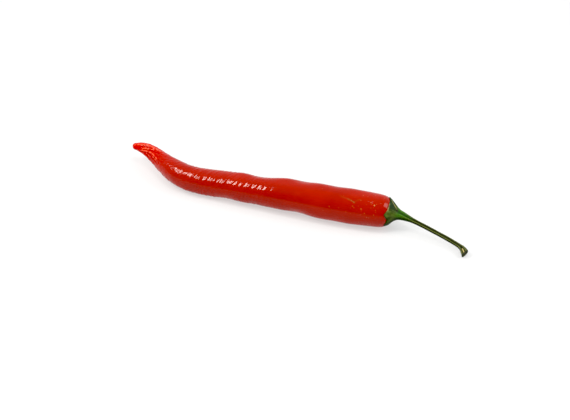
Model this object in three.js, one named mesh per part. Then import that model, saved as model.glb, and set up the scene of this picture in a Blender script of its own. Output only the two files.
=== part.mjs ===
// A fresh red chilli pepper lying on its side: a long tapering pod whose tip turns aside, the green calyx with
// five short teeth that caps its shoulder, and the cut stem.
//
// Millimetres, +Z up. +X runs from the tip to the cut end of the stem. The origin is on the surface that the
// pepper lies on (z = 0), under the middle of its length and width.

import * as THREE from 'three';
import { mergeVertices } from 'three/addons/utils/BufferGeometryUtils.js';

// ---------------------------------------------------------------- driving dimensions

const GAP = 0.3;                 // clearance between neighbouring pieces
const POD_SIDES = 32;            // points round the pod
const CALYX_SIDES = 50;          // points round the calyx, ten to each tooth
const STEM_SIDES = 14;           // points round the stem

const TEETH = 5;                 // calyx teeth
const TOOTH_LENGTH = 1.9;        // from the bottom of a notch to the tip of a tooth
const TOOTH_TURN = -0.17;        // turn of the first tooth about the pepper's axis, radians
const RIM_X = 54.0;              // where the notches between the teeth lie
const RIM_LEAN = 0.5;            // the rim leans: the top of it lies further towards the stem
const NECK_X = 62.6;             // where the calyx ends and the stem begins
const CALYX_FLOOR_X = 56.6;      // inside of the calyx, over the end of the pod
const STEM_END_X = 101.0;        // the cut

const SHIFT = new THREE.Vector3(-3.118, -4.307, 0.010);   // from the tables below to the origin under the middle

// The pepper's axis from the tip of the pod to the cut end of the stem: x, y, z.
const AXIS = [
  [-96.47, 0.14, 9.96], [-95.00, 1.10, 9.87], [-93.74, 1.67, 9.80], [-91.59, 2.20, 9.66], [-88.84, 2.43, 9.31],
  [-85.95, 2.17, 8.91], [-82.28, 1.28, 8.47], [-78.37, -0.19, 8.24], [-74.37, -1.87, 8.13], [-70.36, -3.53, 8.05],
  [-66.47, -4.95, 7.90], [-62.75, -5.94, 7.61], [-59.22, -6.46, 7.24], [-55.19, -6.61, 6.95], [-51.20, -6.35, 6.89],
  [-46.70, -5.68, 7.00], [-42.27, -4.72, 7.14], [-37.85, -3.70, 7.31], [-33.39, -2.82, 7.50], [-29.97, -2.36, 7.73],
  [-26.46, -2.09, 8.09], [-23.09, -1.60, 8.20], [-19.84, -0.91, 8.09], [-16.51, -0.38, 8.13], [-12.60, 0.17, 8.31],
  [-8.75, 0.82, 8.55], [-4.96, 1.55, 8.83], [-1.22, 2.37, 9.00], [2.46, 3.28, 8.90], [6.16, 4.15, 8.72],
  [10.04, 4.67, 8.79], [13.99, 4.97, 9.04], [17.85, 5.47, 9.16], [22.09, 6.38, 9.06], [26.28, 7.36, 8.98],
  [30.55, 8.16, 9.11], [34.77, 9.06, 9.20], [38.89, 10.18, 9.10], [42.99, 11.31, 8.99], [48.12, 12.60, 8.90],
  [53.82, 13.62, 9.04], [56.72, 14.09, 9.08], [59.47, 14.41, 9.00], [61.98, 14.60, 8.75], [65.49, 14.60, 8.30],
  [69.05, 14.45, 7.75], [73.68, 14.30, 6.95], [78.44, 14.01, 6.10], [83.18, 13.63, 5.30], [88.00, 13.13, 4.50],
  [92.86, 12.38, 3.75], [95.97, 11.72, 3.25], [98.18, 10.78, 2.85], [100.87, 8.42, 2.20], [101.60, 7.40, 2.00],
];

// Radius of the pod: x, radius. Its swellings and waists are the pepper's own.
const POD_RADIUS = [
  [-96.38, 0.00], [-96.25, 0.54], [-95.98, 0.94], [-95.57, 1.28], [-95.00, 1.58], [-93.74, 1.98], [-91.59, 2.57],
  [-88.84, 3.11], [-85.95, 3.53], [-82.28, 3.95], [-78.37, 4.39], [-74.37, 4.93], [-70.36, 5.50], [-66.47, 6.00],
  [-62.75, 6.33], [-59.22, 6.54], [-55.19, 6.73], [-51.20, 6.87], [-46.70, 6.98], [-42.27, 7.01], [-37.85, 7.03],
  [-33.39, 7.10], [-29.97, 7.27], [-26.46, 7.55], [-23.09, 7.56], [-19.84, 7.33], [-16.51, 7.27], [-12.60, 7.42],
  [-8.75, 7.74], [-4.96, 8.15], [-1.22, 8.40], [2.46, 8.33], [6.16, 8.18], [10.04, 8.35], [13.99, 8.76],
  [17.85, 9.02], [22.09, 9.00], [26.28, 8.95], [30.55, 9.10], [34.77, 9.20], [38.89, 9.10], [42.99, 8.99],
  [46.50, 8.86], [49.00, 8.70], [51.00, 8.36], [52.40, 7.80], [53.60, 6.95], [54.60, 5.85], [55.35, 4.55],
  [55.85, 3.00], [56.12, 1.50], [56.20, 0.00],
];

// Outside of the calyx: x, radius. A shallow skirt over the shoulder that draws in to the neck.
const CALYX_RADIUS = [
  [50.6, 9.20], [51.6, 8.95], [52.6, 8.62], [53.5, 8.18], [54.5, 7.55], [55.5, 6.75], [56.5, 5.72], [57.5, 4.72],
  [58.6, 3.78], [59.7, 3.05], [60.8, 2.60], [61.9, 2.34], [63.0, 2.12],
];

// Outside of the stem: x, radius. It thins from the neck, runs even, and flares at the cut.
const STEM_RADIUS = [
  [62.0, 2.30], [63.0, 2.10], [64.2, 1.85], [65.4, 1.65], [66.8, 1.45], [69.0, 1.30], [73.0, 1.18], [78.0, 1.20],
  [83.0, 1.16], [88.0, 1.20], [93.0, 1.18], [95.8, 1.24], [97.6, 1.52], [99.2, 1.90], [100.3, 2.15], [101.2, 2.22],
];

// ---------------------------------------------------------------- geometry helpers

// A smooth curve through points of rising x. at(x) gives the point and the direction there.
function curveThrough(rows) {
  const curve = new THREE.CatmullRomCurve3(
    rows.map(([x, y, z = 0]) => new THREE.Vector3(x, y, z)), false, 'centripetal');
  return (x) => {
    let low = 0, high = 1;
    for (let i = 0; i < 40; i++) {
      const middle = (low + high) / 2;
      if (curve.getPoint(middle).x < x) low = middle; else high = middle;
    }
    return { point: curve.getPoint(low), tangent: curve.getTangent(low) };
  };
}

const axisAt = curveThrough(AXIS);
const podCurve = curveThrough(POD_RADIUS);
const calyxCurve = curveThrough(CALYX_RADIUS);
const stemCurve = curveThrough(STEM_RADIUS);

const podRadius = (x) =>
  x <= POD_RADIUS[0][0] || x >= POD_RADIUS[POD_RADIUS.length - 1][0] ? 0 : Math.max(0, podCurve(x).point.y);
const calyxRadius = (x) => calyxCurve(x).point.y;
const stemRadius = (x) => stemCurve(x).point.y;

// A body turned on a lathe from a profile of (radius, x) points and then laid along the pepper's axis. shape may
// change a point's station and radius by its angle, counted from the side (0) over the top (a quarter turn).
function turned(profile, sides, shape = (x, r) => [x, r]) {
  const geometry = new THREE.LatheGeometry(profile.map(([x, r]) => new THREE.Vector2(r, x)), sides);
  geometry.deleteAttribute('normal');
  geometry.deleteAttribute('uv');
  const position = geometry.getAttribute('position');
  const up = new THREE.Vector3(0, 0, 1);
  const rows = profile.length;
  for (let i = 0; i < position.count; i++) {
    const row = i % rows;
    const angle = ((Math.floor(i / rows) % sides) / sides) * 2 * Math.PI;
    const [x, radius] = shape(profile[row][0], profile[row][1], angle, row);
    const { point, tangent } = axisAt(x);
    const side = new THREE.Vector3().crossVectors(up, tangent).normalize();
    const over = new THREE.Vector3().crossVectors(tangent, side);
    point.addScaledVector(side, radius * Math.cos(angle)).addScaledVector(over, radius * Math.sin(angle)).add(SHIFT);
    position.setXYZ(i, point.x, point.y, point.z);
  }
  return closed(geometry);
}

// Shared vertices merged, the flat triangles at the two poles dropped, and the faces turned outwards.
function closed(geometry) {
  const merged = mergeVertices(geometry, 1e-4);
  const p = merged.getAttribute('position');
  const old = merged.index.array;
  const faces = [];
  let volume = 0;
  const a = new THREE.Vector3(), b = new THREE.Vector3(), c = new THREE.Vector3();
  for (let i = 0; i < old.length; i += 3) {
    const [j, k, l] = [old[i], old[i + 1], old[i + 2]];
    if (j === k || k === l || l === j) continue;
    faces.push([j, k, l]);
    a.fromBufferAttribute(p, j); b.fromBufferAttribute(p, k); c.fromBufferAttribute(p, l);
    volume += a.dot(b.cross(c)) / 6;
  }
  merged.setIndex((volume < 0 ? faces.map(([j, k, l]) => [j, l, k]) : faces).flat());
  merged.computeVertexNormals();
  return merged;
}

// Stations from one x to another, as near step apart as comes out even, without the first.
function steps(from, to, step) {
  const n = Math.max(1, Math.round(Math.abs(to - from) / step));
  return Array.from({ length: n }, (_, i) => from + ((to - from) * (i + 1)) / n);
}

// ---------------------------------------------------------------- pod

// Three shallow lobes that turn slowly along the pod. They are deepest in the shrunken tip and fade out towards the
// shoulder, and at the poles.
function podLobes(x, r, angle) {
  if (r === 0) return [x, 0];
  const tip = THREE.MathUtils.smoothstep(-x, 62, 84) * (1 - THREE.MathUtils.smoothstep(-x, 97, 101));
  const turn = 0.9 + x * 0.012;
  const depth = 0.055 * tip + 0.008;
  return [x, r * (1 + depth * Math.cos(3 * (angle - turn)) * (0.6 + 0.4 * Math.sin(angle)))];
}

const podStations = [
  -101.20, -101.05, -100.75, -100.30, -99.66, -98.4, -97,
  ...steps(-97, -60, 2.3), ...steps(-60, 46, 3.1), ...steps(46, 51, 1.6),
  51.9, 52.7, 53.5, 54.2, 54.8, 55.35, 55.75, 56.05, 56.20,
];
const podProfile = podStations.map((x) => [x, podRadius(x)]);
podProfile[0][1] = 0;
podProfile[podProfile.length - 1][1] = 0;

const pod = new THREE.Mesh(
  turned(podProfile, POD_SIDES, podLobes),
  new THREE.MeshStandardMaterial({ color: 0xae1206, roughness: 0.24, metalness: 0 }),
);
pod.name = 'pod';

// ---------------------------------------------------------------- calyx

// How far a tooth reaches from the rim at this angle: a pointed tooth with hollow flanks.
function tooth(angle) {
  const pitch = (2 * Math.PI) / TEETH;
  let off = (angle - TOOTH_TURN) % pitch;
  if (off < 0) off += pitch;
  const near = Math.abs(off < pitch / 2 ? off : off - pitch) / (pitch / 2);
  return TOOTH_LENGTH * Math.pow(1 - near, 1.5);
}
const rimAt = (angle) => RIM_X + RIM_LEAN * Math.sin(angle) - tooth(angle);

// Inside, from the pole over the end of the pod out to the rim, then outside, back to the neck, and its flat end.
const INNER = [0, 0.06, 0.16, 0.28, 0.42, 0.58, 0.76, 1];
const OUTER = [0, 0.1, 0.2, 0.32, 0.44, 0.56, 0.68, 0.78, 0.88, 1];
const calyxRows = [...INNER.map((v) => ['inner', v]), ...OUTER.map((v) => ['outer', v]), ['end', 1]];

const calyxProfile = calyxRows.map(([face, v]) => [face === 'inner' ? CALYX_FLOOR_X : NECK_X, v + 1]);
calyxProfile[0][1] = 0;
calyxProfile[calyxProfile.length - 1][1] = 0;

function calyxShape(x, r, angle, row) {
  const [face, v] = calyxRows[row];
  if (face === 'end') return [NECK_X, 0];
  const rim = rimAt(angle);
  if (face === 'outer') {
    const station = rim + (NECK_X - rim) * v;
    return [station, calyxRadius(station)];
  }
  if (v === 0) return [CALYX_FLOOR_X, 0];
  const station = CALYX_FLOOR_X + (rim - CALYX_FLOOR_X) * v;
  return [station, podRadius(station - GAP) + GAP];
}

const calyx = new THREE.Mesh(
  turned(calyxProfile, CALYX_SIDES, calyxShape),
  new THREE.MeshStandardMaterial({ color: 0x4c6a26, roughness: 0.6, metalness: 0 }),
);
calyx.name = 'calyx';

// ---------------------------------------------------------------- stem

// Five soft ribs run down the stem from the calyx and die out in the flared end.
function stemRibs(x, r, angle) {
  if (r === 0) return [x, 0];
  const ribs = 0.05 * (1 - THREE.MathUtils.smoothstep(x, 96, 99));
  return [x, r * (1 + ribs * Math.cos(5 * (angle - 0.3 - x * 0.01)))];
}

const stemStations = [
  ...steps(NECK_X + GAP, 70, 1.8), ...steps(70, 95, 4.2), ...steps(95, STEM_END_X, 1.0),
];
const stemProfile = [
  [NECK_X + GAP, 0], [NECK_X + GAP, stemRadius(NECK_X + GAP)],
  ...stemStations.map((x) => [x, stemRadius(x)]),
  [STEM_END_X, 0],
];

const stem = new THREE.Mesh(
  turned(stemProfile, STEM_SIDES, stemRibs),
  new THREE.MeshStandardMaterial({ color: 0x4e5a26, roughness: 0.65, metalness: 0 }),
);
stem.name = 'stem';

// ---------------------------------------------------------------- the pepper

const chilli = new THREE.Group();
chilli.add(pod, calyx, stem);

export default chilli;
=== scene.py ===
import math

import bpy
import numpy as np
from mathutils import Matrix, Vector


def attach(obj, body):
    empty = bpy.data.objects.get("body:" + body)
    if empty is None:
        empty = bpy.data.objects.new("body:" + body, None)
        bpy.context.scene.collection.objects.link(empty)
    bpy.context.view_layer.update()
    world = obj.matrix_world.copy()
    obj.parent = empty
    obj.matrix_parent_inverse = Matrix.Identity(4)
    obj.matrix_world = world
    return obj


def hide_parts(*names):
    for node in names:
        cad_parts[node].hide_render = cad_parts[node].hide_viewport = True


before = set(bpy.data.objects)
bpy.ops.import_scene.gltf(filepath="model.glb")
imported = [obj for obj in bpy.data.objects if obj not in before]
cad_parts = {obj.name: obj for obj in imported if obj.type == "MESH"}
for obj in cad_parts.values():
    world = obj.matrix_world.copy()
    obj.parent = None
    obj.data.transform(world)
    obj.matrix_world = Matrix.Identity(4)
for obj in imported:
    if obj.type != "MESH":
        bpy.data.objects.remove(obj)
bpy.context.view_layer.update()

# ------------------------------------------------------------------------------------------------ the frame

MM = 0.001

# The pepper's own centre line and radii, as in the CAD part: millimetres before the shift to the row's origin.
AXIS = [
    [-96.47, 0.14, 9.96], [-95.00, 1.10, 9.87], [-93.74, 1.67, 9.80], [-91.59, 2.20, 9.66], [-88.84, 2.43, 9.31],
    [-85.95, 2.17, 8.91], [-82.28, 1.28, 8.47], [-78.37, -0.19, 8.24], [-74.37, -1.87, 8.13], [-70.36, -3.53, 8.05],
    [-66.47, -4.95, 7.90], [-62.75, -5.94, 7.61], [-59.22, -6.46, 7.24], [-55.19, -6.61, 6.95], [-51.20, -6.35, 6.89],
    [-46.70, -5.68, 7.00], [-42.27, -4.72, 7.14], [-37.85, -3.70, 7.31], [-33.39, -2.82, 7.50], [-29.97, -2.36, 7.73],
    [-26.46, -2.09, 8.09], [-23.09, -1.60, 8.20], [-19.84, -0.91, 8.09], [-16.51, -0.38, 8.13], [-12.60, 0.17, 8.31],
    [-8.75, 0.82, 8.55], [-4.96, 1.55, 8.83], [-1.22, 2.37, 9.00], [2.46, 3.28, 8.90], [6.16, 4.15, 8.72],
    [10.04, 4.67, 8.79], [13.99, 4.97, 9.04], [17.85, 5.47, 9.16], [22.09, 6.38, 9.06], [26.28, 7.36, 8.98],
    [30.55, 8.16, 9.11], [34.77, 9.06, 9.20], [38.89, 10.18, 9.10], [42.99, 11.31, 8.99], [48.12, 12.60, 8.90],
    [53.82, 13.62, 9.04], [56.72, 14.09, 9.08], [59.47, 14.41, 9.00], [61.98, 14.60, 8.75], [65.49, 14.60, 8.30],
    [69.05, 14.45, 7.75], [73.68, 14.30, 6.95], [78.44, 14.01, 6.10], [83.18, 13.63, 5.30], [88.00, 13.13, 4.50],
    [92.86, 12.38, 3.75], [95.97, 11.72, 3.25], [98.18, 10.78, 2.85], [100.87, 8.42, 2.20], [101.60, 7.40, 2.00],
]
SHIFT = np.array([-3.118, -4.307, 0.010])
POD_RADIUS = [
    [-96.38, 0.00], [-96.25, 0.54], [-95.98, 0.94], [-95.57, 1.28], [-95.00, 1.58], [-93.74, 1.98], [-91.59, 2.57],
    [-88.84, 3.11], [-85.95, 3.53], [-82.28, 3.95], [-78.37, 4.39], [-74.37, 4.93], [-70.36, 5.50], [-66.47, 6.00],
    [-62.75, 6.33], [-59.22, 6.54], [-55.19, 6.73], [-51.20, 6.87], [-46.70, 6.98], [-42.27, 7.01], [-37.85, 7.03],
    [-33.39, 7.10], [-29.97, 7.27], [-26.46, 7.55], [-23.09, 7.56], [-19.84, 7.33], [-16.51, 7.27], [-12.60, 7.42],
    [-8.75, 7.74], [-4.96, 8.15], [-1.22, 8.40], [2.46, 8.33], [6.16, 8.18], [10.04, 8.35], [13.99, 8.76],
    [17.85, 9.02], [22.09, 9.00], [26.28, 8.95], [30.55, 9.10], [34.77, 9.20], [38.89, 9.10], [42.99, 8.99],
    [46.50, 8.86], [49.00, 8.70], [51.00, 8.36], [52.40, 7.80], [53.60, 6.95], [54.60, 5.85], [55.35, 4.55],
    [55.85, 3.00], [56.12, 1.50], [56.20, 0.00],
]
CALYX_RADIUS = [
    [50.6, 9.20], [51.6, 8.95], [52.6, 8.62], [53.5, 8.18], [54.5, 7.55], [55.5, 6.75], [56.5, 5.72], [57.5, 4.72],
    [58.6, 3.78], [59.7, 3.05], [60.8, 2.60], [61.9, 2.34], [63.0, 2.12],
]
STEM_RADIUS = [
    [62.0, 2.30], [63.0, 2.10], [64.2, 1.85], [65.4, 1.65], [66.8, 1.45], [69.0, 1.30], [73.0, 1.18], [78.0, 1.20],
    [83.0, 1.16], [88.0, 1.20], [93.0, 1.18], [95.8, 1.24], [97.6, 1.52], [99.2, 1.90], [100.3, 2.15], [101.2, 2.22],
]


def through(rows, per=30):
    """Closely spaced points of a smooth curve through rows: a centripetal Catmull-Rom curve."""
    p = np.array(rows, float)
    if p.shape[1] == 2:
        p = np.column_stack([p, np.zeros(len(p))])
    p = np.vstack([2 * p[0] - p[1], p, 2 * p[-1] - p[-2]])
    out = []
    for i in range(1, len(p) - 2):
        d0, d1, d2 = (max(np.sum((p[i + k] - p[i + k - 1]) ** 2) ** 0.25, 1e-6) for k in (0, 1, 2))
        t1 = ((p[i] - p[i - 1]) / d0 - (p[i + 1] - p[i - 1]) / (d0 + d1) + (p[i + 1] - p[i]) / d1) * d1
        t2 = ((p[i + 1] - p[i]) / d1 - (p[i + 2] - p[i]) / (d1 + d2) + (p[i + 2] - p[i + 1]) / d2) * d1
        last = i == len(p) - 3
        t = np.linspace(0, 1, per + 1)[: None if last else -1, None]
        a, b = p[i], p[i + 1]
        out.append(a + t1 * t + (-3 * a + 3 * b - 2 * t1 - t2) * t**2 + (2 * a - 2 * b + t1 + t2) * t**3)
    return np.vstack(out)


AX = through(AXIS)
AX_DIR = np.gradient(AX, axis=0)
AX_DIR /= np.linalg.norm(AX_DIR, axis=1)[:, None]
_near = np.exp(-((AX[:, :1] - AX[:, 0]) / 5.0) ** 2) * np.gradient(AX[:, 0])
_calm = (_near @ AX_DIR) / _near.sum(1)[:, None]
_part = np.clip(np.minimum((AX[:, 0] + 62) / 8, (46 - AX[:, 0]) / 8), 0, 1)[:, None]
AX_DIR = AX_DIR * (1 - _part) + _calm * _part
AX_DIR /= np.linalg.norm(AX_DIR, axis=1)[:, None]
# Without the clearance that the CAD solids keep, the shoulder fills the calyx.
POD_LINE = through([
    [-95.72, 0.00], [-95.66, 0.62], [-95.46, 1.12], [-95.12, 1.52], [-94.60, 1.82]]
    + [row for row in POD_RADIUS if -94 < row[0] < 48] + [
    [49.0, 8.72], [51.0, 8.47], [52.2, 8.16], [53.2, 7.72], [54.2, 7.05], [55.1, 6.12], [55.8, 5.02], [56.4, 3.50],
    [56.75, 1.80], [56.85, 0.00]])[:, :2]
CALYX_LINE = through(CALYX_RADIUS)[:, :2]
STEM_LINE = through(STEM_RADIUS)[:, :2]


def frame_at(x):
    """Centre, sideways and upward directions of the sections at stations x."""
    x = np.asarray(x, float)
    centre = np.stack([np.interp(x, AX[:, 0], AX[:, k]) for k in range(3)], -1)
    centre[..., 0] = x
    t = np.stack([np.interp(x, AX[:, 0], AX_DIR[:, k]) for k in range(3)], -1)
    t /= np.linalg.norm(t, axis=-1)[..., None]
    side = np.cross(np.array([0, 0, 1.0]), t)
    side /= np.linalg.norm(side, axis=-1)[..., None]
    return centre, side, np.cross(t, side)


def surface(x, angle, radius):
    """Points at stations x, angles round the axis (0 at the far side, a quarter turn on top) and radii."""
    centre, side, over = frame_at(x)
    return centre + SHIFT + side * (radius * np.cos(angle))[..., None] + over * (radius * np.sin(angle))[..., None]


# ------------------------------------------------------------------------------------------------ noise and steps

_rng = np.random.RandomState(41)
_PERM = np.tile(_rng.permutation(512), 3)
_GRAD = _rng.normal(size=(512, 3))
_GRAD /= np.linalg.norm(_GRAD, axis=1)[:, None]


def noise(p):
    """Gradient noise, about -1 to 1, at points p of shape (..., 3)."""
    p = np.asarray(p, float)
    cell = np.floor(p).astype(int)
    f = p - cell
    w = f * f * f * (f * (f * 6 - 15) + 10)
    total = 0
    for dx in (0, 1):
        for dy in (0, 1):
            for dz in (0, 1):
                h = _PERM[(_PERM[(_PERM[(cell[..., 0] + dx) % 512] + cell[..., 1] + dy) % 512] + cell[..., 2] + dz) % 512]
                g = _GRAD[h]
                d = g[..., 0] * (f[..., 0] - dx) + g[..., 1] * (f[..., 1] - dy) + g[..., 2] * (f[..., 2] - dz)
                weight = ((w[..., 0] if dx else 1 - w[..., 0]) * (w[..., 1] if dy else 1 - w[..., 1])
                          * (w[..., 2] if dz else 1 - w[..., 2]))
                total = total + weight * d
    return total * 1.6


def fbm(p, octaves=3):
    total, gain = 0, 1.0
    for i in range(octaves):
        total = total + gain * noise(np.asarray(p) * 2.0**i + 17.3 * i)
        gain *= 0.5
    return total


def step(v, low, high):
    t = np.clip((np.asarray(v, float) - low) / (high - low), 0, 1)
    return t * t * (3 - 2 * t)


def turn_gap(a, b):
    """The smallest signed turn from b to a."""
    return (a - b + math.pi) % (2 * math.pi) - math.pi


# ------------------------------------------------------------------------------------------------ mesh making

def grid_piece(name, points, attributes, first=None, last=None, uv_rows=None):
    """A smooth mesh from rows of rings, closed at each end that has a pole: points has the shape (rings, sides, 3) in
    millimetres. first and last are pole points, or None to leave that end open."""
    rings, sides = points.shape[:2]
    verts = points.reshape(-1, 3)
    i, j = np.meshgrid(np.arange(rings - 1), np.arange(sides), indexing="ij")
    k = (j + 1) % sides
    faces = np.stack([i * sides + j, i * sides + k, (i + 1) * sides + k, (i + 1) * sides + j], -1).reshape(-1, 4).tolist()
    extra = []
    if first is not None:
        extra.append(first)
        n = rings * sides
        faces += [[n, (q + 1) % sides, q] for q in range(sides)]
    if last is not None:
        extra.append(last)
        n = rings * sides + len(extra) - 1
        base = (rings - 1) * sides
        faces += [[n, base + q, base + (q + 1) % sides] for q in range(sides)]
    if extra:
        verts = np.vstack([verts, np.array(extra, float)])
    mesh = bpy.data.meshes.new(name)
    mesh.from_pydata((verts * MM).tolist(), [], faces)
    mesh.validate()
    for key, values in attributes.items():
        values = np.asarray(values, float)
        if values.ndim == 3:
            flat = values.reshape(-1, 3)
            flat = np.vstack([flat] + [flat[:1] if e == 0 and first is not None else flat[-1:] for e in range(len(extra))])
            mesh.attributes.new(key, "FLOAT_VECTOR", "POINT").data.foreach_set("vector", flat.astype(np.float32).ravel())
        else:
            flat = values.reshape(-1)
            flat = np.concatenate([flat] + [flat[:1] if e == 0 and first is not None else flat[-1:] for e in range(len(extra))])
            mesh.attributes.new(key, "FLOAT", "POINT").data.foreach_set("value", flat.astype(np.float32))
    # One strip of the surface, cut along the underside and laid flat.
    v = np.linspace(0.02, 0.98, rings) if uv_rows is None else np.asarray(uv_rows)
    layer = mesh.uv_layers.new(name="OFBake")
    uv = np.zeros((len(mesh.loops), 2), np.float32)
    loop_vertex = np.zeros(len(mesh.loops), int)
    mesh.loops.foreach_get("vertex_index", loop_vertex)
    for poly in mesh.polygons:
        ids = loop_vertex[poly.loop_start:poly.loop_start + poly.loop_total]
        ring = np.where(ids < rings * sides, ids // sides, -1)
        col = (ids % sides).astype(float)
        col = np.where(ring < 0, np.nan, col)
        if np.nanmax(col) - np.nanmin(col) > sides / 2:
            col = np.where(col < sides / 2, col + sides, col)
        col = np.where(np.isnan(col), np.nanmean(col), col)
        pole = (0.004 if ids.min() < sides or rings == 1 else 0.996)
        vv = np.where(ring < 0, pole, v[np.clip(ring, 0, rings - 1)])
        uv[poly.loop_start:poly.loop_start + poly.loop_total, 0] = 0.01 + 0.98 * col / sides
        uv[poly.loop_start:poly.loop_start + poly.loop_total, 1] = vv
    layer.data.foreach_set("uv", uv.ravel())
    mesh.polygons.foreach_set("use_smooth", [True] * len(mesh.polygons))
    mesh.update()
    obj = bpy.data.objects.new(name, mesh)
    bpy.context.scene.collection.objects.link(obj)
    return obj


# ------------------------------------------------------------------------------------------------ the pod

def along(line, n):
    """n stations evenly spaced on a (station, radius) line, without its two ends."""
    length = np.concatenate([[0], np.cumsum(np.hypot(*np.diff(line, axis=0).T))])
    s = np.linspace(0, length[-1], n + 2)[1:-1]
    return np.interp(s, length, line[:, 0]), np.interp(s, length, line[:, 1]), s / length[-1]


POD_RINGS, POD_SIDES = 560, 150

# Creases and ridges of the shrunken tip, each along a line of (station, angle): height (mm, negative for a crease)
# and width (mm).
STROKES = [
    ([(-95.4, 2.00), (-93.8, 1.92), (-91.9, 1.84), (-88.8, 1.58), (-85.3, 1.40), (-81.1, 1.32), (-75.6, 1.26)], 0.10, 0.75),
    ([(-90.2, 3.00), (-88.9, 2.46), (-87.5, 2.23), (-84.7, 2.04), (-83.0, 1.84), (-81.1, 1.57), (-79.0, 1.30)], 0.32, 0.53),
    ([(-90.2, 3.05), (-86.7, 2.57), (-83.7, 2.35), (-81.6, 2.26), (-79.6, 2.30), (-76.9, 2.36), (-73.9, 2.48)], 0.32, 0.53),
    ([(-85.9, 2.78), (-84.5, 2.79), (-83.0, 2.82), (-80.3, 2.89)], 0.20, 0.35),
    ([(-81.2, 2.53), (-79.9, 2.54), (-77.6, 2.57), (-74.0, 2.65)], 0.20, 0.35),
    ([(-92.0, 2.70), (-91.0, 2.51), (-89.9, 2.12), (-88.1, 1.91), (-84.9, 1.74), (-82.6, 1.54), (-78.5, 1.30)], -0.38, 0.44),
    ([(-88.6, 2.66), (-87.6, 2.44), (-84.8, 2.21), (-82.4, 2.07), (-80.0, 1.92), (-78.0, 1.76), (-73.6, 1.64)], -0.33, 0.37),
    ([(-90.2, 3.22), (-87.8, 2.86), (-84.6, 2.66), (-82.0, 2.62), (-80.1, 2.68), (-77.1, 2.74), (-72.8, 2.86)], -0.35, 0.37),
    ([(-87.3, 3.06), (-85.5, 3.05), (-82.7, 3.12), (-79.8, 3.20), (-74.6, 3.18)], -0.29, 0.42),
    ([(-82.6, 2.43), (-79.9, 2.42), (-77.5, 2.46), (-74.8, 2.53), (-71.9, 2.58)], -0.25, 0.29),
    ([(-94.6, 3.70), (-89.8, 3.75), (-84.5, 3.62), (-77.5, 3.70), (-70.3, 3.66)], -0.27, 0.46),
    ([(-93.8, 4.30), (-88.2, 4.20), (-82.8, 4.32), (-76.6, 4.24)], -0.21, 0.44),
    ([(-94.4, 5.00), (-89.1, 4.86), (-82.8, 5.00), (-75.8, 4.92), (-68.7, 5.02)], -0.27, 0.51),
    ([(-93.1, 5.50), (-87.3, 5.62), (-81.0, 5.50), (-73.1, 5.60)], -0.31, 0.40),
    ([(-94.5, 6.10), (-89.8, 6.00), (-83.7, 6.16), (-75.8, 6.06), (-69.6, 6.16)], -0.33, 0.44),
    ([(-90.7, 0.28), (-85.5, 0.36), (-80.2, 0.24), (-72.3, 0.30)], -0.29, 0.37),
    ([(-94.1, 0.80), (-89.1, 0.72), (-82.8, 0.84), (-74.9, 0.74), (-67.8, 0.80)], -0.33, 0.44),
    ([(-88.2, 1.12), (-83.7, 1.06), (-77.5, 1.10)], -0.18, 0.33),
    ([(-92.6, 6.40), (-86.4, 6.36), (-79.3, 6.42)], 0.19, 0.45),
    ([(-91.7, 5.26), (-85.5, 5.30), (-78.4, 5.22)], 0.17, 0.45),
    ([(-91.7, 0.54), (-84.6, 0.58), (-76.7, 0.50)], 0.17, 0.43),
]
# Single bumps and dimples: station, angle, height, width.
BUMPS = [
    (-93.3, 2.05, 0.20, 0.5), (-91.0, 2.64, 0.22, 0.45), (-92.3, 2.30, -0.24, 0.5), (-76.7, 1.95, 0.26, 0.75),
    (-74.6, 2.08, -0.16, 0.7), (-72.5, 2.23, 0.20, 0.65), (-70.4, 2.22, -0.12, 0.7), (-68.4, 2.28, 0.12, 0.6),
    (-65.4, 2.24, 0.13, 0.6), (-63.8, 2.25, -0.10, 0.6), (-62.3, 2.23, 0.12, 0.6), (-60.5, 2.22, -0.09, 0.6),
    (-81.4, 1.93, 0.14, 0.5), (-93.4, 4.60, 0.16, 0.6), (-93.1, 5.80, -0.18, 0.6), (-93.3, 0.40, 0.15, 0.5),
    (-84.3, 1.72, 0.14, 0.5), (-78.9, 2.12, 0.12, 0.5),
]


def eased(column):
    """A table column over x with its short waves taken out between the bend of the tip and the shoulder."""
    x = np.linspace(-96.4, 56, 700)
    value = np.interp(x, *column)
    wide = np.interp(x, [-26, 2], [9.0, 17.0])[:, None]
    weight = np.exp(-((x[:, None] - x[None, :]) / wide) ** 2)
    even = (weight @ value) / weight.sum(1)
    # A straight trend is kept at the ends.
    centre = (weight @ x) / weight.sum(1)
    slope = np.gradient(value, x)
    even = even + ((weight @ slope) / weight.sum(1)) * (x - centre)
    return x, even


_EVEN_R = eased((POD_LINE[:, 0], POD_LINE[:, 1]))
_EVEN_Y = eased((AX[:, 0], AX[:, 1]))
_EVEN_Z = eased((AX[:, 0], AX[:, 2]))


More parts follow.
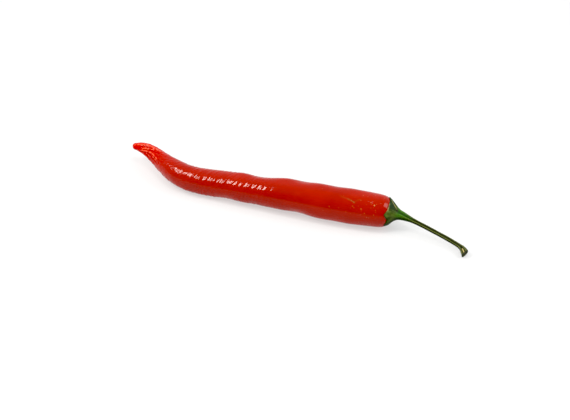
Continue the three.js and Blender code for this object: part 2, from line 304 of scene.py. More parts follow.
def pod_shape(x, r, angle):
    """Radius of the skin at stations x and angles, and the creases and ridges there."""
    # The swellings of the outline do not run over the upper front: there the skin is even along its length.
    band = step(turn_gap(angle, math.radians(60)), 0, 0.5) * (1 - step(turn_gap(angle, math.radians(180)), 0, 0.7))
    band = band * step(x, -64, -54) * (1 - step(x, 36, 46))
    lift = (np.interp(x, *_EVEN_R) - r + (np.interp(x, *_EVEN_Z) - np.interp(x, AX[:, 0], AX[:, 2])) * np.sin(angle)
            + (np.interp(x, *_EVEN_Y) - np.interp(x, AX[:, 0], AX[:, 1])) * np.cos(angle))
    r = r + band * lift
    # A little fuller at the back and under the front.
    back = np.interp(x, [-95, -92, -88, -84, -70, -62, -56, -44, -36, -26, -20, -5, 8, 20, 34, 46],
                     [0.10, 0.45, 0.50, 0.34, 0.22, 0.30, 0.42, 0.36, 0.42, 0.42, 0.26, 0.42, 0.52, 0.44, 0.38, 0.22])
    low = np.interp(x, [-92, -86, -82, -74, -66, -60, -52, -48, -40, -34, -26, -20, -12, -4, 8, 34, 47],
                    [0.0, 0.0, 0.30, 0.55, 0.46, 0.15, 0.10, 0.20, 0.36, 0.18, 0.16, 0.40, 0.40, 0.20, 0.14, 0.28, 0.16])
    r = r + back * np.exp(-(turn_gap(angle, math.radians(44)) / 0.62) ** 2)
    r = r + low * np.exp(-(turn_gap(angle, math.radians(226)) / 0.42) ** 2)
    lobe_turn = 0.9 + x * 0.012
    tip = step(-x, 61, 81) * (1 - step(-x, 93, 97))
    lobes = (0.030 * tip + 0.006) * np.cos(3 * (angle - lobe_turn)) * (0.6 + 0.4 * np.sin(angle))
    ball = np.stack([x / 10.0, r * np.cos(angle) / 10.0, r * np.sin(angle) / 10.0], -1)
    fade = step(x, -95, -89) * (1 - step(x, 44, 54))
    under = 1 - 0.75 * np.exp(-(turn_gap(angle, 1.5 * math.pi) / 0.5) ** 2)      # it lies on its underside
    waves = (0.030 * noise(ball * 1.5 + 3.1) + 0.016 * noise(ball * 3.3 + 9.7)) * fade * under
    waves = waves * (1 - 0.75 * band * step(x, -12, -2) * (1 - step(x, 22, 34)))
    # Fine wrinkles that run round the pod, aslant, and come and go in patches.
    slant = x + 3.8 * np.sin(angle - 2.2) + 0.5 * noise(ball * 2.2 + 4.0)
    patch = 0.70 + 0.30 * step(noise(ball * 1.5 + 21.0), -0.35, 0.35)
    size = np.interp(x, [-96, -90, -80, -66, -50, -42, -24, -12, -2, 40, 54],
                     [0.0, 0.050, 0.130, 0.210, 0.190, 0.165, 0.150, 0.110, 0.014, 0.009, 0.0])
    rings = np.stack([slant / 1.20, 1.3 * np.cos(angle) + 44.2, 1.3 * np.sin(angle)], -1)
    fine = np.stack([slant / 0.60, 2.6 * np.cos(angle) + 11, 2.6 * np.sin(angle)], -1)
    wrinkles = size * (noise(rings) + 0.40 * noise(fine)) * patch
    # Masks of the creases and of the ridges, each ridge broken up along its length, for the skin's colour: painted
    # shade in the creases and a painted highlight on the ridges.
    creases, ridges, height = 0, 0, 0
    for line, tall, wide in STROKES:
        lx, la = np.array(line).T
        reach = step(x, lx[0] - 1.0, lx[0] + 1.6) * (1 - step(x, lx[-1] - 3.0, lx[-1] + 1.2))
        gap = turn_gap(angle, np.interp(x, lx, la)) * r
        mark = reach * np.exp(-(gap / wide) ** 2)
        height = height + tall * mark * np.clip(r / 2.6, 0.3, 1)
        if tall < 0:
            creases = np.maximum(creases, -tall * mark)
        else:
            ridges = np.maximum(ridges, mark * (0.45 + 0.55 * step(noise(np.stack([x / 1.6, angle * 0 + la[0], angle * 0], -1)), -0.3, 0.3)))
    for bx, ba, tall, wide in BUMPS:
        height = height + tall * np.exp(-((x - bx) ** 2 + (turn_gap(angle, ba) * r) ** 2) / wide**2)
    crumple = 0.030 * step(-x, 65, 83) * (1 - step(-x, 95, 97.3)) * noise(
        np.stack([x / 2.6, 2.4 * np.cos(angle) - 7, 2.4 * np.sin(angle)], -1))
    return r * (1 + lobes + crumple) + height + waves + wrinkles, creases, ridges


# Specks that are seen one by one on the side that shows best: station, angle, size, strength.
SPOTS = [
    (47.4, 2.18, 0.42, 1.15), (40.6, 2.51, 0.32, 0.85), (40.5, 1.59, 0.34, 0.60), (45.1, 2.04, 0.30, 0.75),
    (36.3, 2.41, 0.30, 0.65), (37.0, 2.50, 0.26, 0.60), (35.4, 2.55, 0.26, 0.45), (42.6, 2.74, 0.30, 0.65),
    (44.0, 2.97, 0.32, 0.60), (47.8, 2.76, 0.34, 0.60), (46.4, 3.44, 0.32, 0.45), (29.6, 2.64, 0.30, 0.40),
    (33.4, 2.84, 0.32, 0.45), (37.5, 2.81, 0.30, 0.35), (45.6, 2.36, 0.26, 0.50), (43.0, 2.20, 0.22, 0.40),
    (39.0, 2.36, 0.22, 0.45), (41.2, 2.84, 0.24, 0.40), (48.6, 2.46, 0.24, 0.40), (46.9, 1.80, 0.24, 0.35),
    (49.4, 2.95, 0.26, 0.35), (38.6, 2.62, 0.22, 0.35), (50.2, 2.30, 0.24, 0.40),
]


def make_pod():
    x, r, s = along(POD_LINE, POD_RINGS)
    # Cut along the underside: column 0 is there.
    angle = np.linspace(0, 2 * math.pi, POD_SIDES, endpoint=False) - math.pi / 2
    X, A = np.meshgrid(x, angle, indexing="ij")
    R0 = np.repeat(r[:, None], POD_SIDES, 1)
    R, creases, ridges = pod_shape(X, R0, A)

    # A healed scratch on the upper front, and pale corky specks towards the shoulder.
    scar_x = np.array([28.5, 30.0, 32.0, 33.9, 35.4, 36.7])
    scar_a = np.array([1.84, 1.90, 1.95, 2.02, 2.08, 2.16])
    line = np.interp(X, scar_x, scar_a)
    along_scar = (0.25 + 0.75 * step(X, 32.5, 35.5)) * step(X, 28.0, 30.5) * (1 - step(X, 36.8, 37.4))
    off = np.abs(turn_gap(A, line)) * R0
    wander = 0.22 * noise(np.stack([X / 1.1, X * 0, X * 0 + 3], -1))
    scar = along_scar * np.exp(-((off + wander) / 0.38) ** 2)
    side_line = np.interp(X, [36.6, 37.8, 39.1, 40.5], [2.14, 2.03, 1.94, 1.88])
    scar = np.maximum(scar, 0.30 * step(X, 36.5, 37.2) * (1 - step(X, 39.2, 40.5))
                      * np.exp(-(turn_gap(A, side_line) * R0 / 0.30) ** 2))
    R = R - 0.10 * scar

    rng = np.random.RandomState(7)
    specks = np.zeros_like(X)
    spots = [(x0, a0, size, strength) for x0, a0, size, strength in SPOTS]
    for _ in range(150):
        x0 = 56 - abs(rng.normal(0, 17))
        spots.append((x0, rng.uniform(0, 2 * math.pi), rng.uniform(0.16, 0.30), rng.uniform(0.2, 0.7)))
    for _ in range(70):
        spots.append((rng.uniform(-80, 30), rng.uniform(0, 2 * math.pi), rng.uniform(0.14, 0.24), rng.uniform(0.1, 0.4)))
    for x0, a0, size, strength in spots:
        near = np.abs(x - x0) < 3 * size + 0.4
        if not near.any():
            continue
        d2 = (X[near] - x0) ** 2 + (turn_gap(A[near], a0) * R0[near]) ** 2
        specks[near] = np.maximum(specks[near], strength * np.exp(-d2 / (size * size)))
    R = R + 0.035 * specks

    points = surface(X, A, R)
    points[..., 2] = np.maximum(points[..., 2], 0.0)
    tipness = step(-X, 58, 92)
    first = surface(np.array([POD_LINE[0, 0]]), np.array([0.0]), np.array([0.0]))[0]
    last = surface(np.array([56.85]), np.array([0.0]), np.array([0.0]))[0]
    length = np.concatenate([[0], np.cumsum(np.hypot(np.diff(x), np.diff(r)))])
    return grid_piece(
        "pod_skin", points,
        {"tip": tipness, "crease_shade": creases + 0 * X, "ridge_highlight": ridges + 0 * X, "scar": scar, "speck": specks, "station": X,
         "wrap": np.stack([X, 3 * np.cos(A), 3 * np.sin(A)], -1)},
        first, last, 0.012 + 0.976 * length / length[-1])


# ------------------------------------------------------------------------------------------------ calyx and stem

# Teeth: angle (degrees), reach from the notches (mm), half width (degrees), how far the point stands off the pod.
TEETH = [(59, 1.15, 25, 0.55), (153, 1.40, 24, 0.10), (212, 1.55, 30, 0.06), (283, 1.60, 34, 0.08), (350, 1.50, 34, 0.16)]
RIM_X = 54.72
STEM_TURN = math.radians(148)


def rim_station(angle):
    wave = 0.14 * noise(np.stack([2.4 * np.cos(angle), 2.4 * np.sin(angle), angle * 0 + 5], -1))
    wave = wave + 0.07 * noise(np.stack([7 * np.cos(angle), 7 * np.sin(angle), angle * 0 + 2], -1))
    reach = 0
    for at, length, half, _ in TEETH:
        near = np.clip(1 - np.abs(turn_gap(angle, math.radians(at))) / math.radians(half), 0, 1)
        reach = reach + length * near ** 1.3
    return RIM_X + wave - reach


def ribs(x, angle):
    """Height of the ribs that run from the teeth over the neck and down the stem, about -1 to 1."""
    wander = 0.09 * noise(np.stack([x / 5.0, 1.3 * np.cos(angle), 1.3 * np.sin(angle)], -1))
    at = np.array([t[0] for t in TEETH], float)
    at = np.radians(np.concatenate([at, [at[0] + 360]]))
    turn = (angle - at[0]) % (2 * math.pi)
    phase = np.interp(turn, at - at[0], np.arange(6) * 2 * math.pi / 5)
    cap = np.cos(5 * phase + 2 * wander)
    twist = STEM_TURN + 0.0045 * (x - 62) + wander
    stalk = 0.80 * np.cos(5 * (angle - twist)) + 0.20 * np.cos(10 * (angle - twist) + 0.9)
    t = step(x, 57.6, 61.2)
    # The rib of the lowest tooth sweeps over the neck into the stem.
    sweep = np.interp(x, [54.0, 55.7, 58.5, 61.2, 64.7], np.radians([208, 198, 177, 155, 150]))
    main = np.exp(-(turn_gap(angle, sweep) / 0.26) ** 2) * step(x, 54, 56) * (1 - step(x, 61, 64))
    return np.clip((1 - t) * 0.75 * cap + t * stalk + 0.9 * main, -1.1, 1.3)


def green_radius(x, angle, base):
    """Radius of the green skin with its ribs, wrinkles and fibres."""
    r = ribs(x, angle)
    depth = 0.012 + 0.030 * step(x, 55.0, 58) + 0.050 * step(x, 59, 64) - 0.060 * step(x, 97.5, 100.0)
    rim = step(x, 54.2, 56.5)
    fibre = noise(np.stack([x / 3.5, 3.4 * np.cos(angle), 3.4 * np.sin(angle)], -1))
    fine = noise(np.stack([x / 1.2, 7.5 * np.cos(angle), 7.5 * np.sin(angle)], -1))
    lump = noise(np.stack([x / 2.6, 1.2 * np.cos(angle) + 4, 1.2 * np.sin(angle)], -1))
    return base * (1 + depth * r + (0.006 + 0.014 * rim) * fibre + (0.004 + 0.004 * rim) * fine + 0.016 * rim * lump)


# Painted highlight: a pale tan streak along the rib from the top tooth towards the neck, given as stations and angles.
RIB_HIGHLIGHT_LINE = ([54.6, 56.3, 58.0, 58.9], np.radians([64, 76, 89, 104]))
CAP_LINE = through([
    [51.0, 8.80], [52.2, 8.48], [53.2, 8.05], [54.0, 7.62], [54.9, 7.02], [55.6, 6.42], [56.4, 5.62], [57.5, 4.62],
    [58.6, 3.70], [59.7, 3.00], [60.8, 2.58], [61.9, 2.34], [63.0, 2.12], [64.2, 1.86]])[:, :2]


def make_calyx():
    sides = 300
    angle = np.linspace(0, 2 * math.pi, sides, endpoint=False) - math.pi / 2
    rim = rim_station(angle)
    neck = 63.6
    stand = np.zeros(sides)
    for at, _, half, off in TEETH:
        near = np.clip(1 - np.abs(turn_gap(angle, math.radians(at))) / math.radians(half), 0, 1)
        stand = stand + off * near ** 1.6
    rings, edge, stations = [], [], []

    def pod(x):
        return np.interp(x, POD_LINE[:, 0], POD_LINE[:, 1])

    thin = 0.26
    # Inside, from near the middle over the end of the pod out to the rim.
    for v in np.linspace(0.04, 1, 16):
        x = 56.9 + (rim - 56.9) * v
        r = np.maximum(pod(x), 0.25) - 0.05 + (0.09 + stand) * step(v, 0.70, 1.0)
        rings.append(r); stations.append(x); edge.append(step(v, 0.9, 1.0) * np.ones(sides))
    # The cut edge of the rim, then outside, back to the neck.
    rim_out = pod(rim) + 0.04 + stand + thin
    for v in np.concatenate([np.array([0.0, 0.004, 0.010]), np.linspace(0.02, 1, 110) ** 1.1]):
        x = rim + (neck - rim) * v
        base = np.interp(x, CAP_LINE[:, 0], CAP_LINE[:, 1])
        base = np.maximum(base, pod(x) + 0.06 + thin)
        r = green_radius(x, angle, base)
        curl = stand * (1 - step(x - rim, 0.1, 1.9))
        low = rim_out * 1.0 - (rim_out - pod(x) - 0.04 - stand - thin)
        r = np.maximum(r, pod(x) + 0.22) + curl
        t = step(x - rim, 0.0, 0.9)
        r = low * (1 - t) + r * t
        if v == 0.0:
            r = r - 0.10
        elif v == 0.004:
            r = r - 0.03
        r = r * (1 - 0.08 * step(x, 62.7, 63.6))
        rings.append(r); stations.append(x); edge.append(1 - step(x - rim, 0.05, 1.0))
    X, R = np.array(stations), np.array(rings)
    A = np.repeat(angle[None, :], len(rings), 0)
    points = surface(X, A, R)
    points[..., 2] = np.maximum(points[..., 2], 0.0)
    # Painted highlight along that rib.
    gap = turn_gap(A, np.interp(X, *RIB_HIGHLIGHT_LINE)) * R
    rib_highlight = np.exp(-(gap / 0.30) ** 2) * step(X, 54.6, 55.6) * (1 - step(X, 58.2, 59.2))
    # Painted shade: a dark line beside that rib, and a dark spot in the notch where the cap meets the neck.
    gap = turn_gap(A, np.interp(X, *RIB_HIGHLIGHT_LINE) + 0.11) * R
    dark = np.exp(-(gap / 0.42) ** 2) * step(X, 54.8, 56.0) * (1 - step(X, 58.6, 59.4))
    dark = np.maximum(dark, np.exp(-((X - 58.9) / 0.75) ** 2 - (turn_gap(A, math.radians(108)) * R / 0.85) ** 2))
    # Painted shade: a darker green on the upper side of the cap, from the rim part way to the neck.
    shade = step(turn_gap(A, math.radians(40)), 0, 0.3) * (1 - step(turn_gap(A, math.radians(112)), 0, 0.35))
    shade = shade * (1 - step(X, 56.6, 58.6)) * (1 - rib_highlight)
    rimmark = np.maximum(
        np.exp(-((X - rim[None, :] - 0.20) / 0.34) ** 2 - (turn_gap(A, math.radians(126)) * R / 1.5) ** 2),
        0.6 * np.exp(-((X - rim[None, :] - 0.15) / 0.30) ** 2 - (turn_gap(A, math.radians(102)) * R / 0.9) ** 2))
    rimmark[:16] = 0
    first = surface(np.array([56.9]), np.array([0.0]), np.array([0.0]))[0]
    last = surface(np.array([neck]), np.array([0.0]), np.array([0.0]))[0]
    rows = np.concatenate([np.linspace(0.02, 0.22, 16), np.linspace(0.23, 0.97, 113)])
    return grid_piece(
        "calyx_cap", points,
        {"edge": np.array(edge), "rib": ribs(X, A), "station": X, "rib_highlight": rib_highlight, "dark": dark, "shade": shade,
         "rimmark": rimmark,
         "wrap": np.stack([X, 3 * np.cos(A), 3 * np.sin(A)], -1)},
        first, last, rows)


def make_stem():
    sides = 96
    angle = np.linspace(0, 2 * math.pi, sides, endpoint=False) - math.pi / 2
    end = 100.5
    xs = np.concatenate([np.linspace(61.8, 96, 300), np.linspace(96, end, 70)[1:]])
    base = np.interp(xs, STEM_LINE[:, 0], STEM_LINE[:, 1])
    X, A = np.meshgrid(xs, angle, indexing="ij")
    R = green_radius(X, A, base[:, None])
    # The flared end: uneven lips round the cut, with a crisp edge.
    lip = step(X, 97.0, 100.4)
    R = R * (1 + 0.09 * lip * noise(np.stack([X / 2.2, 1.5 * np.cos(A), 1.5 * np.sin(A) + 9], -1)))
    R = R * (1 - 0.17 * lip * np.cos(A) + 0.07 * lip * np.cos(4 * (A - 2.6)))
    R[:4] *= np.array([0.90, 0.955, 0.985, 1.0])[:, None]
    cut = np.zeros_like(X)
    # The cut face: a shallow dish with a ring of fibres.
    face_r = np.array([0.995, 0.975, 0.94, 0.86, 0.74, 0.60, 0.45, 0.28, 0.12])
    face_x = end + np.array([0.012, 0.016, 0.0, -0.06, -0.12, -0.17, -0.20, -0.16, -0.14])
    FX, FA = np.meshgrid(face_x, angle, indexing="ij")
    FR = R[-1][None, :] * face_r[:, None]
    X = np.vstack([X, FX]); A = np.vstack([A, FA]); R = np.vstack([R, FR])
    cut = np.vstack([cut, np.ones_like(FX)])
    # The cut runs aslant.
    slope = np.minimum(R / 2.0, 1.2)
    slope[: len(xs)] = 1.0
    X = X - 0.62 * np.cos(A) * step(X, 97.6, end) * slope
    points = surface(X, A, R)
    points[..., 2] = np.maximum(points[..., 2], 0.0)
    first = surface(np.array([61.8]), np.array([0.0]), np.array([0.0]))[0]
    last = surface(np.array([end - 0.14]), np.array([0.0]), np.array([0.0]))[0]
    rows = np.concatenate([np.linspace(0.02, 0.86, len(xs)), np.linspace(0.865, 0.98, len(face_r))])
    ring = np.vstack([np.zeros((len(xs), sides)), np.repeat(face_r[:, None], sides, 1)])
    streak = np.exp(-(turn_gap(A, math.radians(124)) * R / 0.30) ** 2) * step(X, 98.2, 99.0) * (1 - step(X, 100.7, 101.1))
    return grid_piece(
        "stem_stalk", points,
        {"cut": cut, "ring": ring, "rib": ribs(X, A), "station": X, "streak": streak * (1 - cut),
         "wrap": np.stack([X, 3 * np.cos(A), 3 * np.sin(A)], -1)},
        first, last, rows)


# ------------------------------------------------------------------------------------------------ materials

class Nodes:
    def __init__(self, name):
        self.material = bpy.data.materials.new(name)
        self.material.use_nodes = True
        self.tree = self.material.node_tree
        self.shader = self.tree.nodes["Principled BSDF"]

    def add(self, kind, values=None, **settings):
        node = self.tree.nodes.new(kind)
        for key, value in settings.items():
            setattr(node, key, value)
        for key, value in (values or {}).items():
            if isinstance(value, bpy.types.NodeSocket):
                self.tree.links.new(value, node.inputs[key])
            else:
                node.inputs[key].default_value = value
        return node

    def link(self, output, socket):
        self.tree.links.new(output, socket)

    def attribute(self, name, output="Fac"):
        return self.add("ShaderNodeAttribute", attribute_name=name).outputs[output]

    def math(self, operation, a, b=0.0, clamp=False):
        return self.add("ShaderNodeMath", {0: a, 1: b}, operation=operation, use_clamp=clamp).outputs[0]

    def mix(self, factor, a, b, blend="MIX"):
        node = self.tree.nodes.new("ShaderNodeMix")
        node.data_type = "RGBA"
        node.blend_type = blend
        for socket, value in ((node.inputs[0], factor), (node.inputs[6], a), (node.inputs[7], b)):
            if isinstance(value, bpy.types.NodeSocket):
                self.tree.links.new(value, socket)
            elif isinstance(value, (int, float)):
                socket.default_value = value
            else:
                socket.default_value = (*value, 1.0)
        return node.outputs[2]

    def remap(self, value, low, high, to_low=0.0, to_high=1.0, smooth=True):
        node = self.add("ShaderNodeMapRange", {0: value, 1: low, 2: high, 3: to_low, 4: to_high})
        node.interpolation_type = "SMOOTHSTEP" if smooth else "LINEAR"
        return node.outputs[0]

    def noise(self, vector, scale, detail=2.0, rough=0.5):
        return self.add("ShaderNodeTexNoise", {"Vector": vector, "Scale": scale, "Detail": detail,
                                               "Roughness": rough}).outputs["Fac"]

    def stretch(self, vector, factors):
        return self.add("ShaderNodeVectorMath", {0: vector, 1: factors}, operation="MULTIPLY").outputs[0]

    def bump(self, height, strength, distance, before=None):
        values = {"Strength": strength, "Distance": distance, "Height": height}
        if before is not None:
            values["Normal"] = before
        return self.add("ShaderNodeBump", values).outputs[0]


def pod_material():
    n = Nodes("pepper_skin")
    place = n.add("ShaderNodeTexCoord").outputs["Object"]
    wrap = n.attribute("wrap", "Vector")
    tip, crease_shade, ridge_highlight, scar, speck = (n.attribute(k) for k in ("tip", "crease_shade", "ridge_highlight", "scar", "speck"))

    broad = n.noise(place, 55.0, 3.0, 0.55)
    streak = n.noise(n.stretch(wrap, (0.16, 1.1, 1.1)), 1.0, 4.0, 0.6)
    fine = n.noise(place, 700.0, 2.0, 0.6)
    colour = n.mix(n.remap(broad, 0.34, 0.68), (0.320, 0.0070, 0.0010), (0.364, 0.0095, 0.0014))
    colour = n.mix(n.math("MULTIPLY", n.remap(streak, 0.45, 0.75), 0.40), colour, (0.402, 0.0115, 0.0020))
    colour = n.mix(n.math("MULTIPLY", tip, 0.85), colour, (0.560, 0.0060, 0.0006))
    # Painted shade: the tip's creases are a darker red.
    colour = n.mix(n.math("MULTIPLY", n.remap(crease_shade, 0.05, 0.40), 0.62), colour, (0.330, 0.0010, 0.0001))
    # Painted highlight: the tip's ridges turn pale pink.
    colour = n.mix(n.math("MULTIPLY", n.remap(ridge_highlight, 0.25, 0.95), 0.80), colour, (0.950, 0.150, 0.080))
    colour = n.mix(n.math("MULTIPLY", n.remap(fine, 0.58, 0.80), 0.08), colour, (0.38, 0.008, 0.003))
    colour = n.mix(n.math("MULTIPLY", n.math("MINIMUM", scar, 1.0), 0.80, True), colour, (0.240, 0.090, 0.020))
    colour = n.mix(n.remap(speck, 0.10, 0.85, 0.0, 0.92), colour, (0.520, 0.240, 0.080))
    n.link(colour, n.shader.inputs["Base Color"])

    gloss = n.remap(n.noise(place, 160.0, 3.0, 0.6), 0.3, 0.7, 0.08, 0.125)
    gloss = n.math("ADD", gloss, n.math("MULTIPLY", n.math("MAXIMUM", scar, speck), 0.22), True)
    n.link(gloss, n.shader.inputs["Roughness"])

    peel = n.noise(place, 1300.0, 2.0, 0.5)
    wrinkle = n.noise(n.stretch(wrap, (1.25, 0.80, 0.80)), 1.0, 3.0, 0.60)
    normal = n.bump(wrinkle, 0.25, 0.00008)
    normal = n.bump(peel, 0.06, 0.00002, normal)
    n.link(normal, n.shader.inputs["Normal"])

    n.link(n.remap(tip, 0.0, 0.6, 0.50, 0.24), n.shader.inputs["Specular IOR Level"])
    n.shader.inputs["IOR"].default_value = 1.41
    n.shader.inputs["Subsurface Weight"].default_value = 0.05
    n.shader.inputs["Subsurface Radius"].default_value = (1.0, 0.12, 0.06)
    n.shader.inputs["Subsurface Scale"].default_value = 0.0010
    return n.material


def painted_shade_below(n, colour, amount):
    """Painted shade: green skin darkened on its underside, where shade falls. It is fixed to the object: the piece's
    own normal says where.
    """
    normal = n.add("ShaderNodeTexCoord").outputs["Normal"]
    up = n.add("ShaderNodeSeparateXYZ", {"Vector": normal}).outputs["Z"]
    return n.mix(n.math("MULTIPLY", n.remap(up, 0.40, -0.45), amount), colour, (0.004, 0.010, 0.002))


def calyx_material():
    n = Nodes("calyx_skin")
    place = n.add("ShaderNodeTexCoord").outputs["Object"]
    wrap = n.attribute("wrap", "Vector")
    station, rib, edge, rib_highlight, dark, shade, rimmark = (
        n.attribute(k) for k in ("station", "rib", "edge", "rib_highlight", "dark", "shade", "rimmark"))
    fibre = n.noise(n.stretch(wrap, (0.45, 1.5, 1.5)), 1.0, 4.0, 0.65)
    blotch = n.noise(place, 420.0, 3.0, 0.6)
    colour = n.mix(n.remap(fibre, 0.32, 0.68), (0.030, 0.056, 0.009), (0.100, 0.140, 0.028))
    colour = n.mix(n.math("MULTIPLY", n.remap(rib, 0.2, 1.0), 0.50), colour, (0.110, 0.170, 0.030))
    colour = n.mix(n.math("MULTIPLY", n.remap(rib, 0.0, -0.8), 0.55), colour, (0.014, 0.030, 0.008))
    # The neck is a fresher, brighter green.
    neck = n.math("MULTIPLY", n.remap(station, 57.6, 60.2), n.remap(station, 67.0, 62.0))
    colour = n.mix(n.math("MULTIPLY", neck, 0.66), colour, (0.034, 0.145, 0.012))
    colour = n.mix(n.math("MULTIPLY", n.math("MULTIPLY", neck, n.remap(rib, 0.3, -0.6)), 0.75), colour, (0.010, 0.045, 0.006))
    patch = n.noise(n.stretch(wrap, (0.60, 0.9, 0.9)), 1.0, 3.0, 0.6)
    brown = n.math("MULTIPLY", n.remap(patch, 0.50, 0.68), n.remap(station, 61.0, 55.5))
    colour = n.mix(n.math("MULTIPLY", brown, 0.45), colour, (0.050, 0.042, 0.016))
    # Painted shade on the upper side of the cap.
    colour = n.mix(n.math("MULTIPLY", shade, 0.80), colour, (0.012, 0.036, 0.014))
    # The rim's cut edge and the inner side of its lip, darkened almost to black: partly a darker margin, partly
    # painted shade under the lip.
    rim_margin_and_shade = n.math("MULTIPLY", n.remap(edge, 0.62, 0.96), 0.85)
    colour = n.mix(rim_margin_and_shade, colour, (0.010, 0.018, 0.008))
    tan = n.math("MULTIPLY", n.remap(edge, 0.30, 0.80), n.remap(n.noise(place, 300.0, 2.0, 0.5), 0.50, 0.60))
    colour = n.mix(n.math("MULTIPLY", tan, 0.45), colour, (0.200, 0.150, 0.060))
    colour = n.mix(n.math("MULTIPLY", rimmark, 0.90), colour, (0.340, 0.260, 0.110))
    # Painted shade beside the top rib and in the notch at the neck.
    colour = n.mix(n.math("MULTIPLY", n.remap(dark, 0.25, 0.9), 0.90), colour, (0.026, 0.020, 0.012))
    # Painted highlight: pale tan along the top rib, in patches.
    colour = n.mix(n.math("MULTIPLY", n.remap(rib_highlight, 0.30, 0.85), n.remap(blotch, 0.36, 0.52, 0.45, 1.0)), colour,
                   (0.400, 0.350, 0.120))
    # Painted shade on the underside of the cap and neck.
    colour = painted_shade_below(n, colour, 0.85)
    n.link(colour, n.shader.inputs["Base Color"])
    n.link(n.remap(fibre, 0.3, 0.7, 0.62, 0.44), n.shader.inputs["Roughness"])
    normal = n.bump(fibre, 0.60, 0.00026)
    normal = n.bump(n.noise(place, 1400.0, 3.0, 0.6), 0.35, 0.00006, normal)
    n.link(normal, n.shader.inputs["Normal"])
    n.shader.inputs["IOR"].default_value = 1.33
    return n.material


def stem_material():
    n = Nodes("stem_skin")
    place = n.add("ShaderNodeTexCoord").outputs["Object"]
    wrap = n.attribute("wrap", "Vector")
    station, rib, cut, ring, streak = (n.attribute(k) for k in ("station", "rib", "cut", "ring", "streak"))
    fibre = n.noise(n.stretch(wrap, (0.22, 1.6, 1.6)), 1.0, 4.0, 0.65)
    blotch = n.noise(place, 260.0, 3.0, 0.55)
    colour = n.mix(n.remap(fibre, 0.34, 0.66), (0.012, 0.018, 0.005), (0.060, 0.068, 0.020))
    colour = n.mix(n.math("MULTIPLY", n.remap(rib, 0.25, 1.0), 0.85), colour, (0.155, 0.180, 0.042))
    colour = n.mix(n.math("MULTIPLY", n.remap(rib, 0.10, -0.60), 0.85), colour, (0.008, 0.011, 0.004))
    colour = n.mix(n.math("MULTIPLY", n.remap(blotch, 0.52, 0.74), 0.30), colour, (0.018, 0.034, 0.006))
    neck = n.remap(station, 70.0, 62.0)
    colour = n.mix(n.math("MULTIPLY", neck, 0.60), colour, (0.034, 0.145, 0.012))
    colour = n.mix(n.math("MULTIPLY", n.math("MULTIPLY", neck, n.remap(rib, 0.3, -0.6)), 0.75), colour, (0.010, 0.045, 0.006))
    knob = n.math("MULTIPLY", n.remap(station, 97.0, 98.6), n.remap(n.noise(place, 330.0, 3.0, 0.6), 0.47, 0.58))
    colour = n.mix(n.math("MULTIPLY", knob, 0.55), colour, (0.085, 0.095, 0.040))
    colour = n.mix(n.math("MULTIPLY", n.remap(streak, 0.15, 0.75), 0.95), colour, (0.480, 0.400, 0.150))
    flesh = n.mix(n.remap(n.noise(place, 900.0, 3.0, 0.6), 0.35, 0.65), (0.030, 0.040, 0.014), (0.085, 0.090, 0.036))
    core = n.remap(ring, 0.50, 0.20)
    flesh = n.mix(n.math("MULTIPLY", core, 0.5), flesh, (0.110, 0.085, 0.040))
    colour = n.mix(cut, colour, flesh)
    # Painted shade on the underside of the stem.
    colour = painted_shade_below(n, colour, 0.85)
    n.link(colour, n.shader.inputs["Base Color"])
    n.link(n.remap(fibre, 0.3, 0.7, 0.66, 0.46), n.shader.inputs["Roughness"])
    normal = n.bump(fibre, 0.60, 0.00018)
    normal = n.bump(n.noise(place, 1500.0, 3.0, 0.6), 0.35, 0.00005, normal)
    n.link(normal, n.shader.inputs["Normal"])
    n.shader.inputs["IOR"].default_value = 1.33
    return n.material


# ------------------------------------------------------------------------------------------------ put together

pod = make_pod()
pod.data.materials.append(pod_material())
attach(pod, "root")
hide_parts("pod")

calyx = make_calyx()
calyx.data.materials.append(calyx_material())
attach(calyx, "root")
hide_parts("calyx")

stem = make_stem()
stem.data.materials.append(stem_material())
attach(stem, "root")
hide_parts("stem")

# ------------------------------------------------------------------------------------------------ studio

scene = bpy.context.scene
scene.view_settings.view_transform = "Standard"
scene.view_settings.look = "None"
scene.view_settings.exposure = 0.0
scene.view_settings.gamma = 1.0

AZIMUTH, ELEVATION, DISTANCE = math.radians(26.79), math.radians(40.0), 0.855
CENTRE = Vector((SHIFT[0] * MM, SHIFT[1] * MM, 0.0))


def from_picture(right, away, up):
    """A place given by how far right, away and up it is as the camera sees it, in millimetres."""
    c, s = math.cos(AZIMUTH), math.sin(AZIMUTH)
    return CENTRE + Vector((right * c - away * s, right * s + away * c, up)) * MM


def aim(obj, at):
    obj.rotation_euler = (at - obj.location).to_track_quat("-Z", "Y").to_euler()


camera_data = bpy.data.cameras.new("camera")
camera_data.lens = 100.0
camera_data.sensor_width = 36.0
camera_data.clip_start = 0.01
camera = bpy.data.objects.new("camera", camera_data)
scene.collection.objects.link(camera)
look_at = from_picture(-0.27, 0.42, 0)
camera.location = look_at + (from_picture(0, -math.cos(ELEVATION) * 1000, math.sin(ELEVATION) * 1000) - CENTRE) * DISTANCE
aim(camera, look_at)
scene.camera = camera

floor_mesh = bpy.data.meshes.new("floor")
half = 6.0
floor_mesh.from_pydata([(-half, -half, 0), (half, -half, 0), (half, half, 0), (-half, half, 0)], [], [(0, 1, 2, 3)])
floor = bpy.data.objects.new("floor", floor_mesh)
floor.location.z = -0.00002
scene.collection.objects.link(floor)
f = Nodes("pale_floor")
f.shader.inputs["Base Color"].default_value = (0.34, 0.34, 0.34, 1)
f.shader.inputs["Roughness"].default_value = 0.9
f.shader.inputs["Specular IOR Level"].default_value = 0.0
f.shader.inputs["Emission Color"].default_value = (1, 1, 1, 1)
f.shader.inputs["Emission Strength"].default_value = 0.53
floor_mesh.materials.append(f.material)


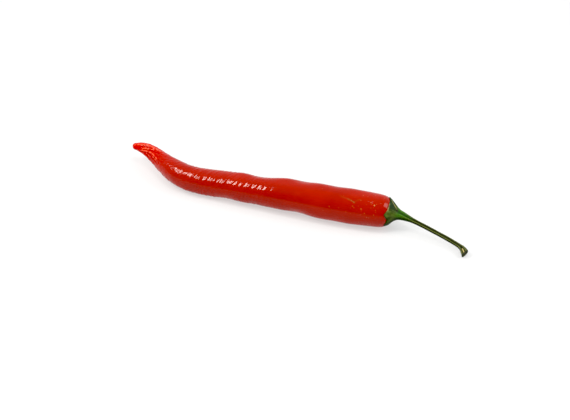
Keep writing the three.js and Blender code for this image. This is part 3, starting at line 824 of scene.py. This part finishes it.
def softbox(name, place, at, width, height, radiance):
    data = bpy.data.lights.new(name, "AREA")
    data.shape = "RECTANGLE"
    data.size, data.size_y = width * MM, height * MM
    data.energy = radiance * math.pi * (width * MM) * (height * MM)
    light = bpy.data.objects.new(name, data)
    light.location = from_picture(*place)
    scene.collection.objects.link(light)
    aim(light, from_picture(*at))
    return light


key = softbox("key", (-399, -95, 600), (-60, 0, 0), 118, 330, 17.0)
key_end = softbox("key_end", (-512, -38, 600), (-80, 0, 0), 180, 330, 4.2)
# The long side of the key crosses the pepper's length; at its left end the key is fainter.
for light in (key, key_end):
    light.data.color = (1.0, 0.965, 0.91)
    down = (from_picture(-20, 0, 0) - light.location).normalized()
    across = (from_picture(450, 893, 0) - CENTRE).normalized()
    across = (across - down * across.dot(down)).normalized()
    light.rotation_euler = Matrix((across.cross(-down), across, -down)).transposed().to_euler()
softbox("right_fill", (520, -60, 470), (60, 0, 0), 340, 400, 3.6)
# Light from straight above, for the shadows only: the skin does not mirror it.
overhead = softbox("overhead", (30, -60, 700), (10, -10, 0), 130, 130, 21.0)
overhead.visible_glossy = False

world = bpy.data.worlds.new("studio")
scene.world = world
world.use_nodes = True
wt = world.node_tree
wt.nodes.clear()
out = wt.nodes.new("ShaderNodeOutputWorld")
background = wt.nodes.new("ShaderNodeBackground")
coordinate = wt.nodes.new("ShaderNodeTexCoord")
dot = wt.nodes.new("ShaderNodeVectorMath")
dot.operation = "DOT_PRODUCT"
away = (from_picture(0, 1000, 300) - CENTRE).normalized()
dot.inputs[1].default_value = away
ramp = wt.nodes.new("ShaderNodeMapRange")
ramp.interpolation_type = "SMOOTHSTEP"
ramp.inputs[1].default_value = -0.6
ramp.inputs[2].default_value = 0.8
ramp.inputs[3].default_value = 0.79
ramp.inputs[4].default_value = 1.15
path = wt.nodes.new("ShaderNodeLightPath")
seen = wt.nodes.new("ShaderNodeMix")
seen.data_type = "FLOAT"
seen.inputs[3].default_value = 0.97
wt.links.new(coordinate.outputs["Generated"], dot.inputs[0])
wt.links.new(dot.outputs["Value"], ramp.inputs[0])
wt.links.new(path.outputs["Is Camera Ray"], seen.inputs[0])
wt.links.new(ramp.outputs[0], seen.inputs[2])
wt.links.new(seen.outputs[0], background.inputs["Strength"])
wt.links.new(background.outputs[0], out.inputs[0])

# The picture's deep blacks: the white studio's veil on the glossy skin is taken off all over.
view = scene.view_settings
view.use_curve_mapping = True
view.curve_mapping.black_level = (0.0265, 0.0265, 0.0295)
view.curve_mapping.white_level = (1.0, 1.0, 1.0)
view.curve_mapping.update()
